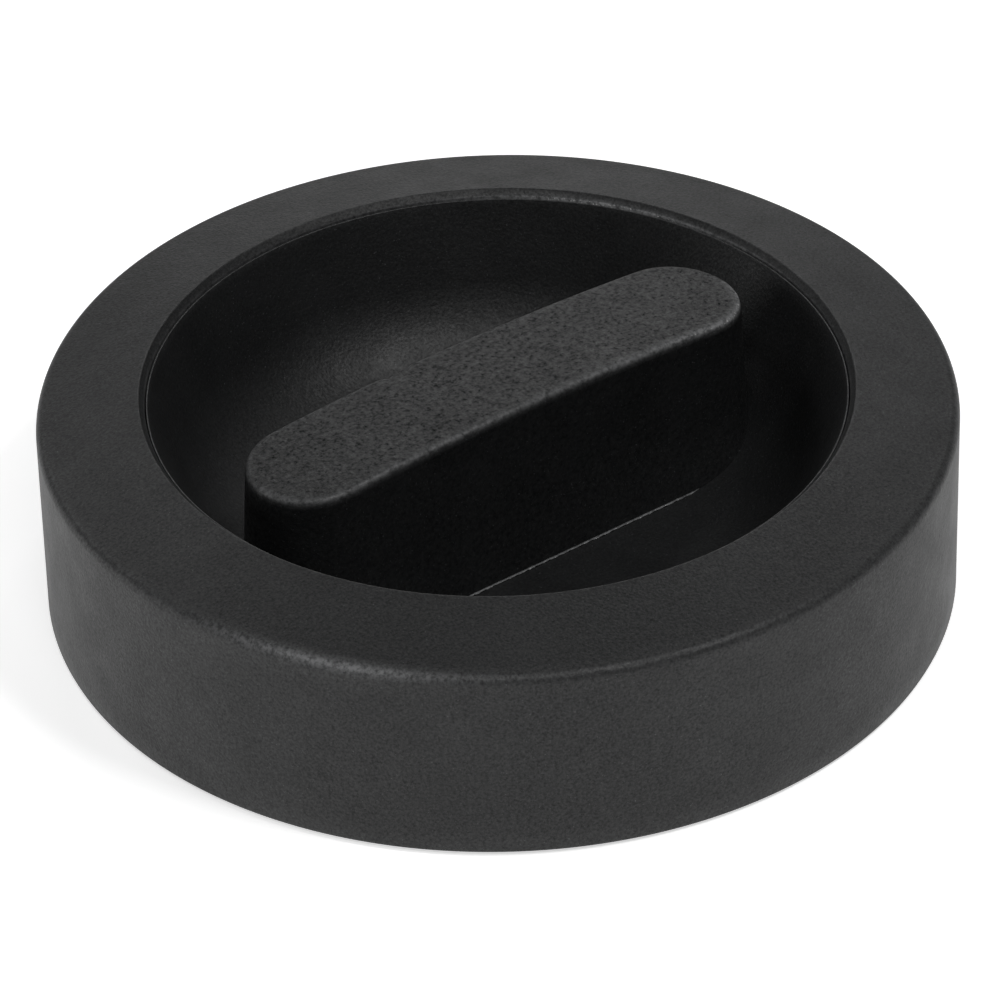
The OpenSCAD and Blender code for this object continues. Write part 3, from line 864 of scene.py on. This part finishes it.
pieces = [
    (make_rim_housing(), "housing", "rim_housing", "black_grained_plastic", rim_painted_highlight),
    (make_bayonet_ring(), "housing", "bayonet_ring", "black_plain_plastic", None),
    (make_base_plate(), "housing", "base_plate", "black_plain_plastic", None),
    (make_base_screws(), "housing", "base_screws", "zinc_steel", None),
    (inserts(around(INSERT_AT, INSERT_ANGLES), LEDGE_Z, "threaded_inserts_turned"),
     "housing", "threaded_inserts", "brass", None),
    (make_foot_gasket(), "housing", "foot_gasket", "rubber", None),
    (make_seal_ring(), "seal", "seal_ring", "rubber", None),
    (make_grip_dish(), "lid", "grip_dish", "black_grained_plastic", lip_painted_highlight),
    (make_grip_bar(), "lid", "grip_bar", "black_grained_plastic", bar_painted_highlight),
    (inserts(BAR_BOSSES, BAR_SEAT_Z, "bar_inserts_turned"), "lid", "bar_inserts", "brass", None),
    (make_bar_screws(), "lid", "bar_screws", "zinc_steel", None),
    (make_lock_ring(), "lid", "lock_ring", "zinc_steel", None),
    (make_lock_screws(), "lid", "lock_ring_screws", "zinc_steel", None),
]
for piece, body, node, slot, edge in pieces:
    shade(piece)
    # The edge weight places the painted highlights and glints.
    if edge:
        mark(piece, "edge", edge)
    piece.data.materials.clear()
    piece.data.materials.append(BAR_PLASTIC if node == "grip_bar" else slots[slot])
    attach(piece, body)
    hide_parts(node)
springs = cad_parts["detent_springs"].data
springs.materials.clear()
springs.materials.append(slots["spring_steel"])

# ---- studio --------------------------------------------------------------------------------

CENTRE = Vector((0, 0, FOOT_Z + 9.1 * MM))
CAMERA_AZIMUTH = -36.2
LIGHT_AT = 0.8
SOFT_BOX = (0.35, 0.3)


def direction(azimuth, elevation):
    """Unit vector from the object towards a place seen at that azimuth and elevation."""
    a, e = math.radians(azimuth), math.radians(elevation)
    return Vector((math.sin(a) * math.cos(e), -math.cos(a) * math.cos(e), math.sin(e)))


def add_camera():
    elevation, roll, distance = 35.44, 1.49, 14 * OUTER_R
    data = bpy.data.cameras.new("camera")
    data.sensor_width = 36
    data.lens = 230.6
    data.clip_start = 0.01
    camera = bpy.data.objects.new("camera", data)
    bpy.context.scene.collection.objects.link(camera)
    back = direction(CAMERA_AZIMUTH, elevation)
    up = back.cross(direction(CAMERA_AZIMUTH + 90, 0))
    # The object sits a little above the middle of the frame.
    aim = CENTRE - up * 1.3 * MM
    place = CENTRE + back * distance
    look = (place - aim).normalized()
    right = up.cross(look).normalized()
    up = look.cross(right)
    turn = Matrix((right, up, look)).transposed().to_4x4()
    camera.matrix_world = Matrix.Translation(place) @ turn @ Matrix.Rotation(-math.radians(roll), 4, "Z")
    bpy.context.scene.camera = camera


def add_area(name, azimuth, elevation, size, power):
    """Soft box that faces the object. Azimuth 0 is the camera's side, and 90 is to its right."""
    data = bpy.data.lights.new(name, "AREA")
    data.shape = "RECTANGLE"
    data.size, data.size_y = size
    data.energy = power
    light = bpy.data.objects.new(name, data)
    bpy.context.scene.collection.objects.link(light)
    way = direction(azimuth + CAMERA_AZIMUTH, elevation)
    light.location = CENTRE + way * LIGHT_AT
    light.rotation_euler = way.to_track_quat("Z", "Y").to_euler()


def add_floor(glow):
    half = 3
    corners = [(-half, -half, 0), (half, -half, 0), (half, half, 0), (-half, half, 0)]
    floor = new_piece("floor", corners, [[0, 1, 2, 3]])
    material = bpy.data.materials.new("floor")
    material.use_nodes = True
    shader = material.node_tree.nodes["Principled BSDF"]
    shader.inputs["Base Color"].default_value = (0.85, 0.85, 0.85, 1)
    shader.inputs["Roughness"].default_value = 0.7
    shader.inputs["Emission Color"].default_value = (1, 1, 1, 1)
    shader.inputs["Emission Strength"].default_value = glow
    floor.data.materials.append(material)


world = bpy.data.worlds.new("studio")
bpy.context.scene.world = world
world.use_nodes = True
world.node_tree.nodes["Background"].inputs["Color"].default_value = (1, 1, 1, 1)
world.node_tree.nodes["Background"].inputs["Strength"].default_value = 0.0
add_camera()
add_floor(0.6)
add_area("high_right", 60, 60, (0.15, 0.15), 2.1)
add_area("high_front", 0, 55, SOFT_BOX, 1.3)
add_area("high_left", -45, 45, SOFT_BOX, 0.2)
add_area("low_left", -90, 10, SOFT_BOX, 0.9)
add_area("right", 135, 30, SOFT_BOX, 0.2)
add_area("back_left", -135, 40, SOFT_BOX, 1.0)
add_area("back", 180, 28, SOFT_BOX, 0.8)
add_area("back_right", 160, 40, (0.12, 0.12), 0.4)
bpy.context.scene.view_settings.view_transform = "Standard"
